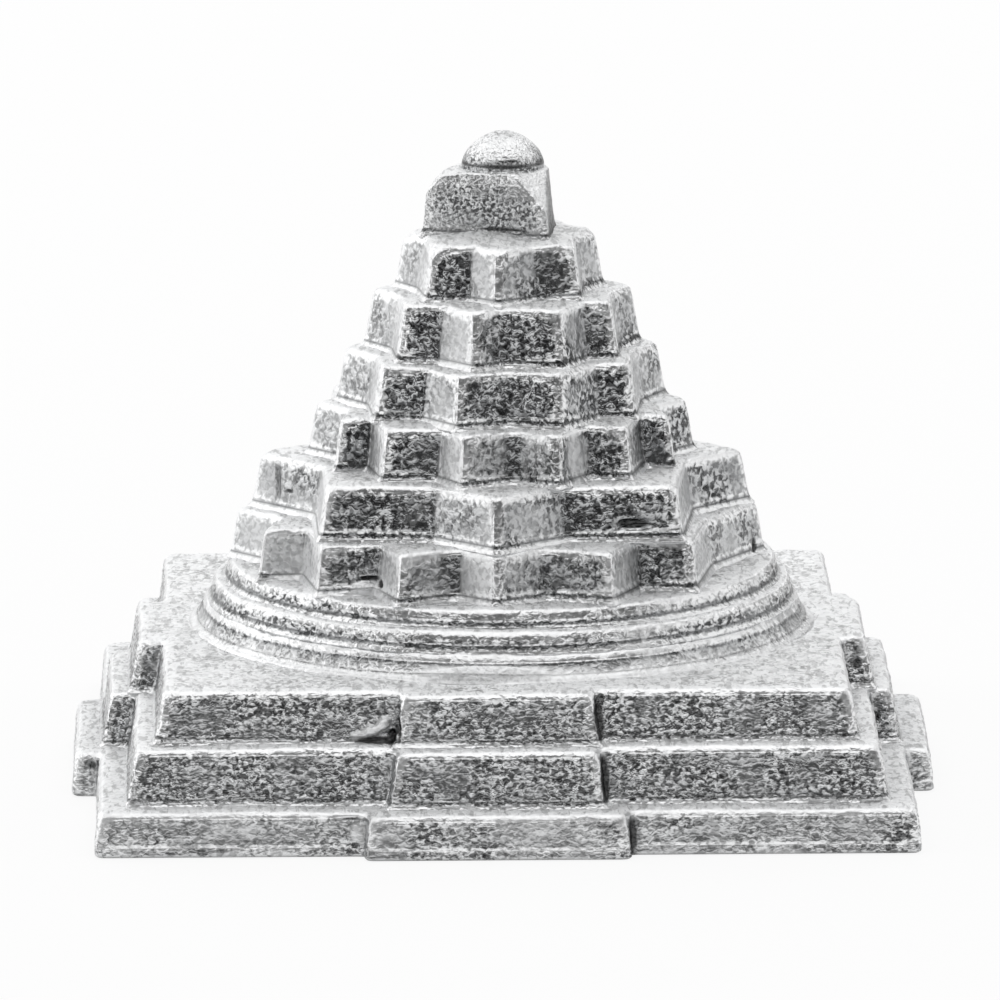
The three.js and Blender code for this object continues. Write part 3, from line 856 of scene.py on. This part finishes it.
def cast_metal(name, wall, bright, wall_rough, bright_rough, squash, fine=1.0):
    """Metal whose colour and roughness go from the wall's to the rubbed metal's with the mask
    tread + edge + tone_and_painted_light - shade_and_stain, which also calms the grain. That mask is
    wear together with painted light: upward faces painted bright from above, painted highlights on
    the edges and painted light on the flanks, less the painted shade. The stains and the painted
    shade in corners, creases and along the feet also turn the colour black. Squash is how much
    flatter than wide the grain is, and fine how much finer than on the tiers. Thin dark worms run
    where a noise crosses its middle value. A speck is light above 0 and dark below it, and level is
    1 on the level treads."""
    s = Shader(name)
    place = s.node("ShaderNodeTexCoord", output="Object")
    squat = s.node("ShaderNodeMapping", None, {"Vector": place, "Scale": (fine, fine, fine * squash)})
    brushed = s.node("ShaderNodeMapping", None, {"Vector": place, "Scale": (1.0, BRUSHING, 1.0)})

    def noise(scale, detail, roughness, distortion=0.0, vector=squat):
        return s.node("ShaderNodeTexNoise", dict(noise_dimensions="3D"), {
            "Vector": vector, "Scale": scale, "Detail": detail, "Roughness": roughness,
            "Distortion": distortion})

    grain = noise(GRAIN_SCALE, 1.0, 0.5, 0.5)
    worms = noise(WORM_SCALE, 1.0, 0.5, 0.5)
    sand = noise(SAND_SCALE, 2.0, 0.6, 0.5, vector=brushed)
    coarse = noise(COARSE_SCALE, 2.0, 0.5)
    patches = noise(PATCH_SCALE, 2.0, 0.5)
    tread, edge, shade_and_stain, tone_and_painted_light = s.mark("tread"), s.mark("edge"), s.mark("shade_and_stain"), s.mark("tone_and_painted_light")
    level = s.smooth(tread, 0.75, 0.95)
    calmed = (1.0 - tone_and_painted_light * 1.6).held() * (1 - LEAST_GRAIN) + LEAST_GRAIN
    strength = (s.smooth(patches, *NOISE_MIDDLE) * (1 - LEAST_GRAIN) + LEAST_GRAIN) * calmed
    worm = 1.0 - s.smooth((worms - 0.5).maths("ABSOLUTE"), 0.0, 0.06)
    speck = (s.smooth(grain, *NOISE_MIDDLE) - 0.5 - worm * 0.3) * strength
    # Painted light: surfaces that face up are made bright, as the light falls from above, along with the
    # wear and the painted highlights of the edges.
    worn = s.smooth(tread, 0.3, 0.8) + s.smooth(edge + (grain - 0.5) * 0.9, 0.15, 0.75) * 0.8
    # The bright mask: wear together with painted light, less the painted shade and the stains.
    wear_and_painted_light = (worn + tone_and_painted_light - shade_and_stain * 0.5 + (coarse - 0.5) * calmed * 0.6 + speck * 0.4).held()
    dark = s.blend((speck + 0.5).held(), shaded(wall, DARKEST_SPECK), shaded(wall, LIGHTEST_SPECK))
    pits = (1.0 - s.smooth(grain, 0.3, 0.6)) * (tone_and_painted_light.held() * 0.25 + 0.15)
    grit = s.smooth(sand, 0.5, 0.62) * level * 0.42 + pits
    light = s.blend(grit, bright, shaded(bright, GRIT_SHADE))
    colour = s.blend(wear_and_painted_light, dark, light)
    # Stains, and painted shade in corners, creases and along the feet, turn the colour black.
    stained_and_shaded = s.blend(s.smooth(shade_and_stain + speck * 0.6, 0.3, 0.9) * 0.9, colour, STAIN_AND_SHADE_BLACK)
    rough = wall_rough + (bright_rough - wall_rough) * wear_and_painted_light + level * 0.4 + tone_and_painted_light.held() * 0.3
    calm = 1.0 - s.smooth(edge, 0.3, 0.9) * 0.4
    relief = (grain * strength + (coarse * 0.4 + patches * 0.3) * calmed) * calm
    bump = s.node("ShaderNodeBump", None, {"Strength": 1.0, "Distance": RELIEF_DEPTH, "Height": relief})
    metal = s.node("ShaderNodeBsdfPrincipled", None, {
        "Base Color": stained_and_shaded, "Metallic": 1.0, "Roughness": rough, "Normal": bump})
    s.node("ShaderNodeOutputMaterial", None, {"Surface": metal})
    return s.material


# %% [markdown]
# The four finishes are one metal, with walls of different darkness: partly the casting's patina and
# partly painted shade. The girdles' and the tiers' walls are darkest. On the steps and the girdles
# the grain is flatter than wide, and on the triangle and the bindu it is finer. Each layer takes
# the finish that the model's own record gives it.

# %% The four finishes
# The wall colours are partly patina and partly painted shade.
FINISHES = {
    "step_metal": dict(
        wall=(0.43, 0.435, 0.44), bright=(0.95, 0.955, 0.96), wall_rough=0.27, bright_rough=0.32,
        squash=1.5),
    "girdle_metal": dict(
        wall=(0.26, 0.265, 0.27), bright=(0.91, 0.915, 0.92), wall_rough=0.28, bright_rough=0.31,
        squash=1.4),
    "tier_metal": dict(
        wall=(0.29, 0.295, 0.3), bright=(0.93, 0.935, 0.94), wall_rough=0.23, bright_rough=0.32,
        squash=1.05),
    "crown_metal": dict(
        wall=(0.41, 0.415, 0.42), bright=(0.9, 0.905, 0.91), wall_rough=0.3, bright_rough=0.28,
        squash=1.0, fine=1.7),
}
SLOTS = {sub["node"]: sub["material_slot"] for sub in frame["record"]["subparts"]}

metals = {slot: cast_metal(slot, **finish) for slot, finish in FINISHES.items()}
for name, piece in pieces.items():
    piece.data.materials.append(metals[SLOTS[name]])
print("finishes:", sorted(metals))

# %% [markdown]
# The studio: a wide white floor and large soft lamps overhead, behind and to both sides. The
# room on the camera's side stays dim, so that walls facing the camera look darker than walls
# turned to the sides, which is what gives polished metal its shape. The overhead lamp reaches
# forward over the camera, so that the rounded rims catch it along their whole curve. The lamps'
# places and sizes are in metres. The floor lies a hair under the object, so that they don't share
# a plane.

# %% The floor, the room and the lamps
FLOOR_HALF = 3.0
FLOOR_BELOW = 0.02 * MM
FLOOR_SHOWN_WHITE = 0.88
ROOM = 0.1


def white_floor():
    """A wide floor that shows as white to the camera and in the metal, but for the share of it
    that takes the object's shadow."""
    mesh = bpy.data.meshes.new("floor")
    half, low = FLOOR_HALF, -FLOOR_BELOW
    mesh.from_pydata([(-half, -half, low), (half, -half, low), (half, half, low), (-half, half, low)],
                     [], [(0, 1, 2, 3)])
    floor = bpy.data.objects.new("floor", mesh)
    bpy.context.scene.collection.objects.link(floor)
    s = Shader("white_floor")
    seen = [s.node("ShaderNodeLightPath", output=o)
            for o in ("Is Camera Ray", "Is Glossy Ray", "Is Transmission Ray")]
    share = (seen[0] + seen[1] + seen[2]).held() * FLOOR_SHOWN_WHITE
    paper = s.node("ShaderNodeBsdfDiffuse", None, {"Color": (0.9, 0.9, 0.9, 1)})
    white = s.node("ShaderNodeEmission", None, {"Color": (1, 1, 1, 1), "Strength": 1.0})
    both = s.node("ShaderNodeMixShader", None, {0: share, 1: paper, 2: white})
    s.node("ShaderNodeOutputMaterial", None, {"Surface": both})
    mesh.materials.append(s.material)


def soft_lamp(name, place, width, height, radiance):
    """A flat lamp that looks at the middle of the object, its width level. A lamp's power is its
    radiance times pi times its area."""
    data = bpy.data.lights.new(name, "AREA")
    data.shape, data.size, data.size_y = "RECTANGLE", width, height
    data.energy = radiance * math.pi * width * height
    lamp = bpy.data.objects.new(name, data)
    bpy.context.scene.collection.objects.link(lamp)
    lamp.location = place
    aim = CAMERA_AIM * MM - Vector(place)
    lamp.rotation_mode = "QUATERNION"
    lamp.rotation_quaternion = aim.to_track_quat("-Z", "Y")
    lamp.visible_camera = False


def dim_room():
    """A grey world, the same in all directions."""
    world = bpy.data.worlds.new("room")
    world.use_nodes = True
    background = world.node_tree.nodes["Background"]
    background.inputs["Color"].default_value = (ROOM, ROOM, ROOM, 1)
    bpy.context.scene.world = world


white_floor()
dim_room()
soft_lamp("lamp_overhead", place=(0.0, 0.0, 0.5), width=0.8, height=1.3, radiance=1.05)
soft_lamp("lamp_behind", place=(0.0, 0.7, 0.3), width=0.7, height=0.56, radiance=0.95)
soft_lamp("lamp_left", place=(-0.58, 0.17, 0.26), width=1.15, height=0.5, radiance=1.35)
soft_lamp("lamp_right", place=(0.6, 0.1, 0.26), width=0.9, height=0.5, radiance=0.9)
print("lamps:", sorted(light.name for light in bpy.data.lights))

# %% [markdown]
# Last, the view's colours are left as they are.

# %% The view's colours
bpy.context.scene.view_settings.view_transform = "Standard"
